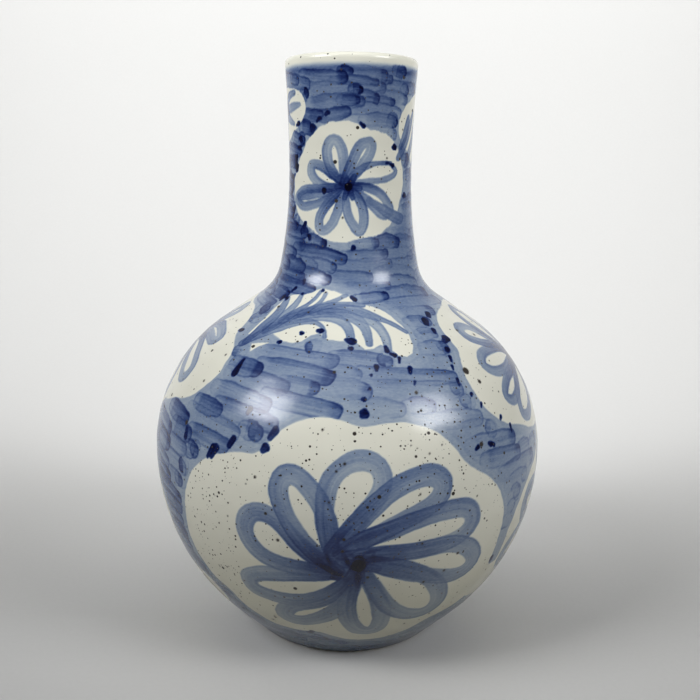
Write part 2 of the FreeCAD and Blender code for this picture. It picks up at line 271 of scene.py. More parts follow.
def brush(window, path, widths, tones, rim=0.25, streaks=0.3, ragged=0.5, soak=0.5,
          corner=2.0, heavy=0.0):
    """One stroke of wash.  widths and tones are spread evenly along it.  Where it crosses an
    older one the darker stays, and a share (soak) of the lighter is added.  rim, streaks and
    ragged are how strong its dark edge, bristle marks and uneven outline are, and heavy makes
    its left side darker than its right."""
    mask, gap, place, side, total = closest(window, path, max(widths), corner)
    part = place / total
    inside = spread(widths, part) / 2.0 - gap + edge_wobble[window.index][mask] * ragged
    cover = np.clip(inside / EDGE_BLUR + 0.5, 0.0, 1.0)
    tone = spread(tones, part)
    tone = tone * (1.0 + 0.2 * wash_cloud[window.index][mask] + heavy * side / max(widths))
    tone = tone * (1.0 + streaks * bristles(place, side, rng.uniform(0, 50)))
    tone = tone + rim * spread(tones, part) * np.exp(-(inside / RIM_WIDTH) ** 2)
    layer = cobalt[window.index]
    old = layer[mask]
    both = np.maximum(old, tone) + soak * np.minimum(old, tone)
    layer[mask] = old + (both - old) * cover
    cobalt[window.index] = layer


def pool(window, x, y, length, width, lean, tone=7.0):
    """A dark drop where a loaded brush was set down or lifted.  lean is in degrees."""
    reach = max(length - width, 0.2) / 2.0
    step_x = reach * math.cos(math.radians(lean))
    step_y = reach * math.sin(math.radians(lean))
    path = np.array([[x - step_x, y - step_y], [x + step_x, y + step_y]])
    brush(window, path, [width * 0.7, width], [tone * 0.8, tone], rim=0.0, ragged=1.0, soak=0.1)


def iron_spot(window, x, y, size):
    """A large speck where iron in the clay burnt through the glaze.  size is its radius."""
    gap = np.hypot(window.x - x, window.y - y) + 0.4 * edge_wobble[window.index]
    spot = np.where(window.near, np.clip((0.8 * size - gap) / 0.5 + 0.5, 0.0, 1.0), 0.0)
    iron[window.index] = np.maximum(iron[window.index], spot)


# ---------------------------------------------------------------- white reserves

def keep_white(window, distance):
    """Keeps free of the ground whatever lies at a negative distance."""
    distance = np.where(window.near, distance + edge_wobble[window.index] * 0.8, 200.0)
    outside[window.index] = np.minimum(outside[window.index], distance)


def cloud(window, lobes, sharp=0.3):
    """A scalloped reserve: (x, y, radius) discs run together, with sharp nicks between them
    where sharp is large."""
    closeness = [np.exp(sharp * (size - np.hypot(window.x - x, window.y - y)))
                 for x, y, size in lobes]
    keep_white(window, -np.log(np.maximum(sum(closeness), 1e-12)) / sharp)


def shape(window, points):
    """A reserve with a given outline."""
    points = np.array(points + points[:1], float)
    mask, gap = closest(window, points, 40.0)[:2]
    x, y = window.x[mask], window.y[mask]
    inside = np.zeros(x.shape, bool)
    for (x0, y0), (x1, y1) in zip(points[:-1], points[1:]):
        crosses = (y0 > y) != (y1 > y)
        inside ^= crosses & (x < x0 + (y - y0) * (x1 - x0) / (y1 - y0 if y1 != y0 else 1e-9))
    distance = np.full(window.x.shape, 200.0)
    distance[mask] = np.where(inside, -gap, gap)
    keep_white(window, distance)


# ---------------------------------------------------------------- motifs

# Each petal is one looped stroke, out from the flower's heart and back to it.
FRONT_CLOUD = [(-70, 10, 53), (-20, 45, 45), (25, 37, 50), (55, 5, 52), (62, -31, 38),
               (15, -42, 46), (-45, -35, 43), (-76, -10, 44), (0, 0, 60)]
FRONT_PETALS = [
    [(-13, 4), (-17, 20), (-18.5, 38), (-16, 53), (-7, 63), (4, 66), (14, 61), (15.5, 51), (8, 38),
     (-3, 24), (-11, 10)],
    [(-14, 10), (-4, 23), (5, 33), (14, 42), (25, 49.5), (38, 54), (49, 53.5), (54.5, 48), (53, 41),
     (41, 33), (22, 25), (4, 15)],
    [(-9, 8), (4, 17), (20, 22.5), (35, 27), (52, 29.5), (65, 29), (74.5, 25), (77, 18), (73, 11),
     (60, 6.5), (40, 6), (14, 6)],
    [(-4, 6), (10, 7), (27, 6.5), (46, 6), (61, 4.5), (72, -1), (79, -9), (80.5, -18), (75, -23.5),
     (63, -23), (48, -17), (32, -10), (14, -3)],
    [(4, 2), (18, -1), (32, -7), (44, -15), (53, -26), (57, -38), (56.5, -49), (50, -55.5), (40, -54.5),
     (30, -48), (21, -37), (14, -23), (7, -8)],
    [(3, -4), (-2, -18), (-4, -32), (-3.5, -46), (0, -58), (7, -68), (13, -69), (18, -59), (18.5, -46),
     (16, -32), (11, -18), (5, -6)],
    [(-1, -7), (-10, -22), (-24, -34), (-38, -42), (-44, -50), (-43.5, -58), (-36, -60), (-25, -55),
     (-13, -44), (-5, -30), (1, -12)],
    [(-8, -6), (-20, -8.5), (-36, -11), (-50, -15), (-62, -20), (-68, -27), (-66, -34), (-56, -37),
     (-43, -37), (-30, -33.5), (-17, -26), (-5, -14)],
    [(-11, -8), (-22, 2), (-34, 12), (-46, 24), (-56, 28.5), (-65, 26), (-69.5, 17), (-67, 7),
     (-59, -1), (-47, -5), (-32, -6), (-13, -6)],
    [(-10, -5), (-20, 3), (-31, 14), (-40, 26), (-46, 39), (-47, 49), (-43, 55), (-36, 55), (-29, 50),
     (-22, 41), (-16, 27), (-14, 12)],
]
FRONT_LOADS = [1.05, 1.15, 1.2, 1.1, 1.0, 0.9, 0.9, 0.95, 1.25, 1.4]
NECK_CLOUD = [(-4, 10, 31), (-14, -2, 29), (14, 4, 28), (17, 14, 21), (-4, -9, 29), (-19, -9, 19),
              (12, -9, 25)]
NECK_PETALS = [
    [(-4, 1), (-11, 10), (-14, 19), (-13, 26), (-9.5, 29), (-6, 26.5), (-3.5, 20), (-3, 12), (-3, 3)],
    [(-3, 1), (1, 11), (5, 20), (10, 26.5), (14.5, 27), (15, 22.5), (11, 15), (6, 8), (0, 2)],
    [(2, -1), (11, -1.5), (20, -4.5), (26.5, -11), (29, -18), (26, -20), (18, -15), (11, -8.5),
     (4, -2)],
    [(1, -3), (6.5, -8), (10, -16), (10.7, -25), (8.5, -30.5), (4.5, -27), (0.5, -20), (-1, -13),
     (-1, -5)],
    [(-4, -4), (-12, -11), (-17.5, -19), (-19, -26), (-17, -30.5), (-12.5, -28.5), (-8, -22), (-5, -14),
     (-3, -5)],
    [(-3, -1), (-14, -2.5), (-26, -3.2), (-36, -6.5), (-38, -10.5), (-34, -15), (-26, -14.5),
     (-16, -11), (-5, -4)],
    [(-4, 2), (-11, 7.5), (-18, 12), (-25, 12.8), (-25.5, 8), (-21, 2), (-14, -2), (-5, -2)],
]
RIGHT_CLOUD = [(-12, -13, 32), (-1, 19, 27.5), (26, 23, 33), (63, 20, 34), (88, -10, 34), (63, -33, 30),
               (22, -25, 30), (38, -5, 40), (8, -20, 30)]
RIGHT_PETALS = [
    [(36, -3), (24, 3), (10, 5), (-4, 5.5), (-14, 3.5), (-18.5, -1.5), (-14, -8), (-4, -11), (10, -11),
     (24, -8), (36, -6)],
    [(38, 0), (24, 6), (9, 9), (-3, 14), (-9.5, 21.5), (-8, 27.5), (-1, 28.5), (7, 25), (15, 17),
     (24, 8), (36, -1)],
    [(37, 0), (26, 11), (16.5, 23), (13.8, 36), (17.5, 45), (25, 45), (31, 36), (35, 20), (38, 5)],
    [(35, -7), (20, -12), (6, -15.5), (-6, -19.5), (-14, -27), (-9, -31), (0, -30.5), (10, -26),
     (22, -17), (34, -9)],
    [(37, -8), (24, -15), (10, -25), (1.5, -35), (1.5, -42.5), (8, -45.5), (20, -43), (33, -33),
     (39, -16)],
    [(40, -8), (42, -26), (50, -42), (60, -42), (62, -30), (52, -14), (42, -4)],
    [(42, -6), (62, -14), (82, -20), (92, -14), (84, -4), (64, 0), (44, -2)],
    [(42, 0), (58, 12), (74, 26), (84, 22), (80, 10), (62, 2), (44, -3)],
    [(40, 2), (44, 20), (52, 38), (62, 44), (66, 34), (56, 16), (44, 2)],
]
LEFT_CLOUD = [(-12, 18, 26), (9, -8, 24), (3, -20, 18), (-20, -20, 24), (-45, 25, 35), (-75, 15, 32),
              (-80, -15, 30), (-50, -22, 28), (-45, 0, 42)]
LEFT_PETALS = [
    [(-45, 8), (-33, 17), (-19, 19), (-6, 14.5), (2, 8), (-1, 5.3), (-9, 6), (-20, 9), (-33, 11),
     (-44, 7)],
    [(-44, 6), (-30, 5), (-18, -1), (-8, -9), (-2, -17), (-4, -24), (-10.5, -26.5), (-18, -21.5),
     (-28, -12), (-38, -1)],
    [(-45, 9), (-37, 24), (-27, 37), (-18, 41), (-17, 36), (-25, 28), (-36, 17), (-44, 8)],
    [(-46, 2), (-38, -14), (-34, -30), (-40, -40), (-48, -36), (-50, -20), (-48, -2)],
    [(-48, 2), (-62, -12), (-76, -22), (-84, -16), (-78, -4), (-62, 4), (-48, 6)],
    [(-48, 6), (-66, 8), (-84, 16), (-86, 26), (-74, 26), (-60, 16), (-47, 9)],
    [(-46, 9), (-56, 24), (-60, 42), (-50, 50), (-43, 42), (-42, 26), (-44, 10)],
]
SPRIG_OUTLINE = [(-54, -4), (-47, 8), (-37, 25), (-33, 29), (-28, 29.5), (-20, 27), (-14, 28), (-8, 30),
                 (0, 28.5), (6, 26), (12, 24.5), (16, 20.5), (24, 20.5), (32, 19), (40, 15), (47, 9),
                 (53, 1), (56.5, -8), (57, -14), (54, -19), (48, -19.5), (41, -15), (36, -14),
                 (32, -19), (27, -21), (22, -17), (16, -14), (11, -15.5), (3, -16), (-3, -10),
                 (-8, -12), (-13, -17), (-19, -18.5), (-27, -16.5), (-34, -8), (-44, -9)]
SPRIG_SLIVER = [(-48, -15), (-36, -16.5), (-42, -18.5), (-47.5, -21.5)]
# Leaves of the sprig: points, widths and tones.
SPRIG_LEAVES = [
    ([(-54, -12), (-43, 2), (-36, 13), (-32.5, 27)], [6, 9, 8, 4], [1.8, 1.5, 1.3]),
    ([(-46, -7), (-32, 8), (-25, 19), (-22, 28)], [8, 9, 6, 4], [1.4, 1.3, 1.2]),
    ([(-40, -4), (-23, 11), (-14, 20), (-9, 28)], [8, 8, 4, 3], [1.4, 1.5, 1.2]),
    ([(-30, 4), (-12, 14), (-8, 19), (-5.5, 26)], [8, 6, 4, 3], [1.3, 1.4, 1.0]),
    ([(-25, 7), (-8, 15), (1, 20), (8, 25.5)], [8, 7, 5, 3], [1.4, 1.3, 1.2]),
    ([(-18, 9), (-2, 15.5), (9, 18), (20, 19)], [8, 7, 5, 3], [1.4, 1.5, 1.4]),
    ([(-10, 10), (10, 14), (26, 11), (40, 8), (51, 3.5)], [8, 9, 8, 4.5, 3], [1.2, 1.2, 1.7]),
    ([(-56, -12), (-36, -4), (-20, 0), (-8, 0), (-2, -5), (0.5, -13)],
     [7, 9, 9, 6, 3, 2.5], [2.0, 1.3, 1.3, 1.6]),
    ([(-40, -2), (-15, 5), (2, 5), (10, 1), (14.5, -5), (17, -14)],
     [8, 9, 9, 9, 7, 5], [1.3, 1.3, 1.1, 1.6]),
    ([(-20, 6), (2, 9), (16, 6), (23, 0), (27, -8), (29, -15)],
     [7, 8, 9, 9, 7, 4.5], [1.3, 1.5, 1.1, 1.5]),
    ([(-5, 10), (15, 10), (27, 6), (35, -1), (39, -9), (41, -17)],
     [7, 8, 10, 8, 6.5, 5], [1.2, 1.1, 1.1, 1.3]),
]


# How a petal's stroke widens and fades along its loop, as shares of its width and tone.
PETAL_WIDTHS = np.array([0.75, 0.95, 1.0, 1.0, 1.05, 1.0, 1.0, 0.95, 0.75])
PETAL_TONES = np.array([1.9, 1.6, 1.2, 0.95, 0.82, 0.8, 0.88, 1.05, 1.5])


def loops(window, petals, width, tone, heart, heart_size, loads=(1.0,)):
    """A flower: looped petals, darkest where they crowd together at the heart.  loads says
    how much colour the brush held for each petal in turn."""
    for count, petal in enumerate(petals):
        load = loads[count % len(loads)]
        widths = width * PETAL_WIDTHS * rng.uniform(0.94, 1.05)
        tones = load * tone * PETAL_TONES * rng.uniform(0.95, 1.05)
        brush(window, curve_through(petal, 44), widths, tones, rim=0.15, streaks=0.35,
              soak=0.18, heavy=0.45)
    x, y = heart
    for turned in range(0, 360, 60):
        lean = math.radians(turned + rng.uniform(-20, 20))
        tip = (x + 1.5 * heart_size * math.cos(lean), y + 1.5 * heart_size * math.sin(lean))
        brush(window, np.array([(x, y), tip]), [heart_size, heart_size * 0.7], [3.0 * tone, 1.6 * tone],
              rim=0.2, soak=0.25)
    pool(window, x, y - 0.2 * heart_size, heart_size, heart_size * 0.65, 70, 6.0)


def mirrored(paths, mirror, grow=1.0):
    """The same paths, turned over left to right where mirror is -1."""
    return [[(mirror * grow * x, grow * y) for x, y in path] for path in paths]


BIG_FLOWERS = [(2.5, 116, 1), (100, 101, -1), (-113, 96, 1)]    # degrees, distance, mirror
BODY_BALL = 140             # mm: radius of the ball that the body is nearest to
NECK_BALL = 60
SHOULDER_BALL = 90

big_windows = []
for degrees, distance, mirror in BIG_FLOWERS:
    window = Patch(degrees, distance, 122, BODY_BALL)
    cloud(window, [(mirror * x, y, size) for x, y, size in FRONT_CLOUD])
    big_windows.append(window)
# Low on the sides the white runs on towards the next medallion.
cloud(big_windows[0], [(99, -54, 18)])
cloud(big_windows[2], [(101, -59, 20)])
right_window = Patch(62, 235, 84, BODY_BALL)
cloud(right_window, RIGHT_CLOUD)
left_window = Patch(-62, 240, 84, BODY_BALL)
cloud(left_window, LEFT_CLOUD)
neck_window = Patch(-2, 374, 50, NECK_BALL)
cloud(neck_window, NECK_CLOUD, 0.9)
neck_back = Patch(178, 378, 50, NECK_BALL)
cloud(neck_back, [(-x, y, size) for x, y, size in NECK_CLOUD])
neck_left = Patch(-86, 419, 46, NECK_BALL)
cloud(neck_left, [(20, 4, 12), (6, 2, 15), (-12, 4, 18), (0, -4, 13), (-20, -4, 14)])
neck_right = Patch(90, 404, 46, NECK_BALL)
cloud(neck_right, [(-14, 8, 17), (0, 12, 18), (13, 3, 18), (3, -9, 15), (-4, 18, 10)])
sprig_window = Patch(-10, 276, 66, SHOULDER_BALL)
shape(sprig_window, SPRIG_OUTLINE)
shape(sprig_window, SPRIG_SLIVER)
sprig_back = Patch(172, 276, 66, SHOULDER_BALL)
shape(sprig_back, [(-x, y) for x, y in SPRIG_OUTLINE])


# ---------------------------------------------------------------- the brushed ground

CONTOUR = 8.5               # mm of plain wash left round the body's reserves
NECK_CONTOUR = 4.5          # and round the neck's
LIP_WHITE = 7.0             # mm of bare glaze below the lip's crest
FIRST_WASH = 0.95           # cobalt laid under the rows, up to the reserves
BODY_WASH = 0.2             # and more of it under the body's rows
NECK_WASH = 0.35            # and under the neck's, on top of that
# The rows' slope, and how dark they are, at each of some turns in degrees.
GROUND_TILT = ([-80, -30, 0, 25, 45, 65], [-0.18, -0.14, -0.10, -0.06, -0.03, 0.16])
GROUND_TONE = ([-75, -50, -20, 20, 50, 90], [1.35, 1.35, 1.05, 0.95, 0.85, 1.05])
# How a ground stroke widens and darkens from left to right.
STROKE_WIDTHS = np.array([0.85, 1.0, 1.0, 1.0, 0.8])
STROKE_TONES = np.array([0.6, 0.95, 0.9, 0.88, 0.88, 0.9, 0.95, 1.0, 1.1])
STROKE_LENGTH = (22.0, 58.0)        # mm
STROKE_OVERLAP = (3.0, 11.0)        # mm
SHORTEST_STROKE = 12.0              # mm left over that still make a stroke of their own
ROW_PITCH = 10.0                    # mm between rows on the body
NECK_ROW_PITCH = 7.4
ROW_TONE = 1.2
NECK_ROW_TONE = 1.5
ground_top = lip_crest - LIP_WHITE


def ground_stroke(degrees, distance, length, thick, tone):
    """One stroke of the ground, laid left to right, its colour gathering at the right."""
    window = Strip(degrees, distance, length / 2 + thick, thick + 5.0)
    half = length / 2 - thick * 0.4
    step = half / radius[window.middle] / FULL_TURN * columns
    here = (math.radians(degrees) / FULL_TURN + 0.5) * columns
    sway = [row_sway[window.middle, int(here + k * step) % columns] for k in (-1, 0, 1)]
    tilt = (np.interp(degrees, *GROUND_TILT) + rng.normal(0.0, 0.02)) * half
    bow = rng.normal(0.3, 0.4)
    path = curve_through([(-half, sway[0] - tilt), (0, sway[1] + bow), (half, sway[2] + tilt)], 8)
    tones = tone * STROKE_TONES
    tones[-1] += tone * (rng.uniform(0.4, 0.9) if rng.random() < 0.3 else rng.uniform(0.0, 0.2))
    brush(window, path, thick * STROKE_WIDTHS, tones,
          rim=0.55, streaks=0.5, ragged=0.8, soak=0.14, corner=2.3, heavy=0.7)
    return window, half, sway[2] + tilt


on_neck = smooth_step(90.0, 50.0, radius)
contour = (CONTOUR + (NECK_CONTOUR - CONTOUR) * on_neck)[:, None]


def paint_row(distance, pitch, tone):
    """One row of the ground, broken where it meets a reserve."""
    row = row_at(distance)
    swayed = np.clip(row + np.round(row_sway[row] / GRID).astype(int), 0, rows - 1)
    free = outside[swayed, np.arange(columns)] > contour[row] - 2.0
    step = 360.0 / columns
    mm_per_degree = radius[row] * FULL_TURN / 360.0
    first_blocked = 0 if free.all() else int(np.argmin(free))
    free = np.roll(free, -first_blocked)
    edges = np.flatnonzero(np.diff(np.concatenate([[0], free.astype(int), [0]])))
    for first, last in zip(edges[::2], edges[1::2]):
        run = (last - first) * step * mm_per_degree
        begin = -3.0
        while begin < run - 4.0:
            length = rng.uniform(*STROKE_LENGTH) * (0.8 if radius[row] < 60 else 1.0)
            if run - begin - length < SHORTEST_STROKE:
                length = run - begin + 1.0
            overlap = min(rng.uniform(*STROKE_OVERLAP), 0.5 * length)
            turned = (begin + length / 2.0) / mm_per_degree + (first + first_blocked) * step
            middle = turned % 360.0 - 180.0
            thick = pitch * rng.uniform(1.15, 1.4)
            lift = rng.normal(0.0, 0.4)
            load = np.interp(middle, *GROUND_TONE) * rng.uniform(0.7, 1.4)
            window, half, level = ground_stroke(middle, distance + lift, length, thick, tone * load)
            begin += length - overlap
            faces_back = abs(middle) > 70.0
            at_reserve = begin + overlap >= run - 1.0
            if rng.random() < (0.6 if at_reserve and faces_back else 0.03):
                size = rng.uniform(4.5, 8.0)
                pool(window, half + 0.3 * thick, level + rng.uniform(-2, 2), size, size * 0.5,
                     rng.uniform(40, 110), rng.uniform(2.5, 4.5))


under = smooth_step(0.0, 5.0, ground_top - along + 1.0)[:, None]
body_of_ground = smooth_step(-1.0, 5.0, outside - contour)
extra_wash = BODY_WASH + NECK_WASH * on_neck[:, None]
cobalt += under * (FIRST_WASH + extra_wash * body_of_ground + 0.15 * wash_cloud)
contour_streaks = look_up(bristle_table, outside / 1.5, np.broadcast_to(turn * 4.0, outside.shape))
cobalt += under * smooth_step(2.0, -1.0, outside - contour) * (0.1 + 0.12 * contour_streaks)
distance = 5.0
while distance < ground_top - 8.5:
    neck_share = on_neck[row_at(distance)]
    pitch = ROW_PITCH + (NECK_ROW_PITCH - ROW_PITCH) * neck_share
    paint_row(distance, pitch, ROW_TONE + (NECK_ROW_TONE - ROW_TONE) * neck_share)
    distance += pitch * rng.uniform(0.92, 1.08)
# Dabs where the neck was gone over again: degrees, distance, length, width, tone.
for dab in ((-5, 443, 11, 6, 2.9), (3, 437, 32, 6, 2.0), (4, 431, 10, 7, 3.0),
            (-2, 425, 16, 7, 2.5), (29, 438, 13, 8, 2.1), (45, 444, 14, 8, 2.7),
            (53, 432, 10, 9, 2.2), (-58, 441, 12, 7, 2.5), (-45, 433, 9, 9, 2.3),
            (25, 424, 24, 6, 2.0), (-36, 421, 18, 7, 2.0), (-62, 424, 9, 8, 2.4)):
    ground_stroke(*dab)
lip_line = along[:, None] - (ground_top - 5.5) + 1.2 * wash_cloud
cobalt += 0.9 * np.exp(-(lip_line / 1.6) ** 2)
cobalt *= smooth_step(0.0, 5.0, ground_top - along[:, None] + 0.3 * edge_wobble + 0.5)
cobalt *= smooth_step(-0.45, 0.35, outside)

# Dark drops set round the reserves: x, y, length, width, lean.
POOLS = {
    big_windows[0]: [(-72, 89, 8, 5, 60), (-53, 78, 11, 5, 55), (-58, 68, 8, 5, 50),
                     (-82, 68, 10, 4, 60), (-96, 58, 13, 5, 65), (5, 92, 7, 5, 20),
                     (101, -31, 7, 3.5, 80), (82, 64, 5, 3, 20), (94, 64, 6, 4, -30),
                     (-27, -76, 6, 3, 70), (-17, -87, 8, 3, 100)],
    neck_window: [(-34, 31, 6, 4, 110), (-35.5, 25.5, 4, 4, 90), (-39, 19, 5, 3.5, 90),
                  (-39, 12, 7, 4.5, 80), (-24, 37, 6, 4, 80), (-20, 42, 6, 4, 45),
                  (-14, 46, 5, 3.5, 30), (-37, 42, 5, 4, 10), (9, 38.5, 6, 3, -45), (31, 26, 5, 4, 30),
                  (43, -8, 6, 5, 30), (4, -42, 5, 4, 45), (-30, -28, 6, 3, 70), (-26, -36, 5, 3, 100),
                  (-42, -25, 5, 2, 100), (30, 14, 5, 3, -15), (26.5, 15, 4, 2.5, 10),
                  (-16, -4.5, 4, 3, 100)],
    sprig_window: [(-33, 27, 3, 2.5, 90), (-22, 28, 3.2, 2.6, 0), (-8, 28.5, 3.2, 2.6, 30),
                   (13, 24, 5, 2, -30), (-15, -9.5, 4, 2.5, -60), (-3.5, -7.5, 5.5, 4.5, 0),
                   (16, -14.5, 9, 5, -15), (-28.5, -17, 4, 3, -20), (18, -21, 3, 2.5, 0),
                   (40, -16.5, 7, 3, -65), (44.5, -20, 6, 3.5, -15), (49, -23, 6, 2.5, 100),
                   (36, -33, 7, 4, 100), (33, -38.5, 4, 3.5, 0), (33.5, -48, 4, 3, 60),
                   (31, -55.5, 3, 3, 0), (32, -63.5, 6, 4, 20), (57, -28.5, 6, 3, 100),
                   (61, -37, 5, 2.5, 90), (63.5, 31, 7, 3.5, 100), (62, 21, 8, 3, 100),
                   (-37, 29, 6, 2.5, 50), (-22, 37, 4, 2, 80), (-29, 34, 4, 2, 30),
                   (-55, -34, 7, 3, 60)],
    right_window: [(-21, 46.5, 8, 4.5, 50), (-30, 42.5, 9, 4.5, 50), (-32.5, 34, 7, 4, 55),
                   (-32, 25, 10, 7, 20), (-39, 18, 6, 4, 30), (-43, 12, 7, 3.5, 60),
                   (-47, 6.5, 6, 3.5, 60), (-51, -3, 7, 3, 65), (-47.5, -14, 4, 3, 60),
                   (-44, -23, 5, 2.5, 50), (-31, -36.5, 4, 2.5, 40), (-23, -46, 7, 2.5, 85),
                   (-47, -47.5, 6, 3, -45)],
    left_window: [(44.5, 0, 15, 4.5, -80), (29, -54, 10, 4.5, -80), (58, -55, 12, 4, 70),
                  (16, 21, 5, 3, 10)],
}
for (degrees, distance, mirror), window in zip(BIG_FLOWERS, big_windows):
    grow = 1.0 if window is big_windows[0] else 1.15
    loops(window, mirrored(FRONT_PETALS, mirror, grow), width=12.4, tone=1.35,
          heart=(2 * mirror, -1), heart_size=8.0, loads=FRONT_LOADS)
# Short strokes that darken the front flower's heart: points, width, tone.
HEART_STROKES = [
    ([(-30, 14), (-20, 3), (-9, -7)], 10, 2.3), ([(-38, -3), (-24, -4), (-9, -7)], 8, 2.1),
    ([(-10, 14), (-7, 4), (-2, -4)], 6, 2.4), ([(-17, 9), (-16, 3), (-14, -2)], 2.0, 4.6),
    ([(-6, 8), (-4.5, 2), (-2, -3)], 2.2, 4.8), ([(-22, 3), (-15, -5), (-8, -9)], 3.5, 4.2),
    ([(-1, 4), (2, 6), (6, 2)], 2.2, 5.0), ([(3, 1), (10, 3.5), (20, 2.5)], 4.0, 3.8),
    ([(-3, 7), (8, 9), (20, 11.5)], 2.5, 3.0), ([(-14, 11), (-9, 19), (-3, 26)], 3.0, 2.8),
    ([(3, -3), (2, -10), (2, -18)], 4.5, 3.6),
]
for points, width, tone in HEART_STROKES:
    brush(big_windows[0], curve_through(points, 12), [width * 0.5, width, width * 0.5],
          [tone * 0.6, tone * 1.3, tone * 0.8], rim=0.1, soak=0.2)
loops(right_window, RIGHT_PETALS, width=7.4, tone=1.7, heart=(38, -4), heart_size=5.0)
loops(left_window, LEFT_PETALS, width=7.6, tone=1.6, heart=(-46, 6), heart_size=5.0)
loops(neck_window, NECK_PETALS, width=6.2, tone=1.5, heart=(0.5, -1.5), heart_size=5.0)
pool(neck_window, -4, 2.5, 8, 5, 100, 3.6)
brush(neck_window, curve_through([(-36, -9), (-26, -7), (-12, -5)]), [6, 7, 5], [1.6, 1.4, 1.5],
      soak=0.2)
brush(neck_window, curve_through([(14, -10), (25, -17), (37, -24)]), [4, 7, 8], [1.3, 1.4, 1.7],
      soak=0.2)
brush(neck_window, curve_through([(0, 3), (6, 8), (12, 12), (21, 14.3), (29, 15)]),
      [4, 5, 4, 3, 3], [1.6, 1.3, 1.6, 2.4])
brush(neck_window, curve_through([(31, 13), (34, 10), (31, 6.5), (25, 3.8), (15, 2.3), (3, 1)]),
      [3, 4, 4, 4, 4], [1.6, 1.3, 1.2, 1.5])
eighth_petal = [(2, 2), (12, 8), (24, 13), (31, 11), (29, 6), (18, 1), (6, 0)]
loops(neck_back, mirrored(NECK_PETALS + [eighth_petal], -1), width=6.2, tone=1.15,
      heart=(-0.5, -1.5), heart_size=5.0)
for window, mirror in ((sprig_window, 1), (sprig_back, -1)):
    for points, widths, tones in SPRIG_LEAVES:
        brush(window, curve_through([(mirror * x, y) for x, y in points]), widths,
              0.9 * np.array(tones), rim=0.35, soak=0.22)
for points in ([(-26, -8), (-8, 0), (6, 8)], [(-22, 8), (-6, 4), (8, 2)],
               [(4, -22), (2, -6), (8, 10), (20, 14)], [(18, -6), (6, 0), (-4, 10)],
               [(26, 6), (12, 4), (2, 2)]):
    brush(neck_left, curve_through(points), [3.5, 6.5, 6, 4], [1.1, 1.3, 1.6])
for points in ([(-30, -14), (-20, 2), (-12, 18)], [(-22, -18), (-10, 0), (-2, 20)],
               [(-12, -22), (2, -4), (10, 14)], [(-4, -20), (12, -6), (22, 6)],
               [(-28, -6), (-22, 6), (-20, 14)]):
    brush(neck_right, curve_through(points), [4, 6.5, 6.5, 4], [1.4, 1.5, 1.8])
for window, drops in POOLS.items():
    for drop in drops:
        pool(window, *drop)

# Large iron spots, listed one by one: x, y, radius.
IRON_SPOTS = {
    big_windows[0]: [(-7, 64, 1.2), (-21, 83, 0.9), (34, 73, 1.0), (46, 67, 1.1), (38, 71, 0.9),
                     (55, 71, 0.8), (86, 65.5, 2.2), (-63, 50, 1.1), (-55, 28.5, 1.1), (-47, 12, 1.2),
                     (-49, 35, 1.0), (-69, 44.5, 1.0), (-82, 18.5, 1.0), (-16, 41, 0.9),
                     (-12, 59.5, 0.9), (30, 55, 1.0), (-7.5, 9.5, 1.1), (39, 43.5, 0.9),
                     (41, 10.5, 0.9), (67, -5, 1.3), (58, -16, 1.2), (44, -21, 1.1), (-72, -32, 1.0),
                     (-85, -26, 1.1), (-92, -30, 1.1), (36, -67, 1.4), (-52, -65.5, 1.4),
                     (-54, -71, 1.4), (80, 33, 1.0)],
    right_window: [(-39, 0.5, 3.1), (-34, -10, 1.8), (-12, 27, 1.5), (2, 19, 1.7), (-57, -44, 1.6),
                   (-42, 36, 0.9)],
    left_window: [(-2, 26, 1.3), (26, 1, 1.1), (24, -20.5, 1.2), (26, -49, 1.8)],
    sprig_window: [(-14, 9.5, 1.1), (1.5, 17.3, 0.8), (12, 3.5, 0.9), (11, -40, 1.3), (3.5, 48, 1.0),
                   (63, -43, 1.4), (16, 34.5, 0.8), (28, 16.5, 0.8), (49.5, 49, 0.9)],
    neck_window: [(-2, 9, 0.7), (26, 18, 0.7), (26.5, -5, 0.7), (30.5, -12, 0.7), (-3, -21.5, 0.7),
                  (5.5, -30.5, 0.9), (38.5, 39.5, 0.8), (-15.5, 26, 0.5), (22.5, 4, 0.6)],
}
for window, spots in IRON_SPOTS.items():
    for spot in spots:
        iron_spot(window, *spot)

# Where specks lie thickest: degrees, distance, spread in mm, share.
for degrees, distance, size, share in ((27, 185, 34, 0.8), (-36, 160, 34, 0.75), (-38, 100, 26, 0.7),
                                       (5, 150, 60, 0.4), (30, 235, 30, 0.3), (130, 160, 60, 0.5),
                                       (-140, 190, 50, 0.5), (170, 90, 50, 0.4)):
    window = Patch(degrees, distance, 2.2 * size, BODY_BALL)
    gap = np.hypot(window.x, window.y)
    speckle[window.index] += np.where(window.near, share * np.exp(-(gap / size) ** 2), 0.0)


# ---------------------------------------------------------------- the glaze coat

COAT = 0.5                  # mm of glaze shown
SKIN_STEP = 6               # painted rows per row of the coat's hidden clay side
SWELL = 0.25                # mm: the wall's mean swelling, and how far it varies on its way round
RING_DEPTH = 0.05           # mm of its throwing rings


def turned_points(r, z):
    """Points in metres for rows of radius and height, every row the full circle."""
    x = r * np.sin(turn)[None, :]
    y = -r * np.cos(turn)[None, :]
    return np.stack([x, y, np.broadcast_to(z, x.shape)], axis=-1).reshape(-1, 3) * MM


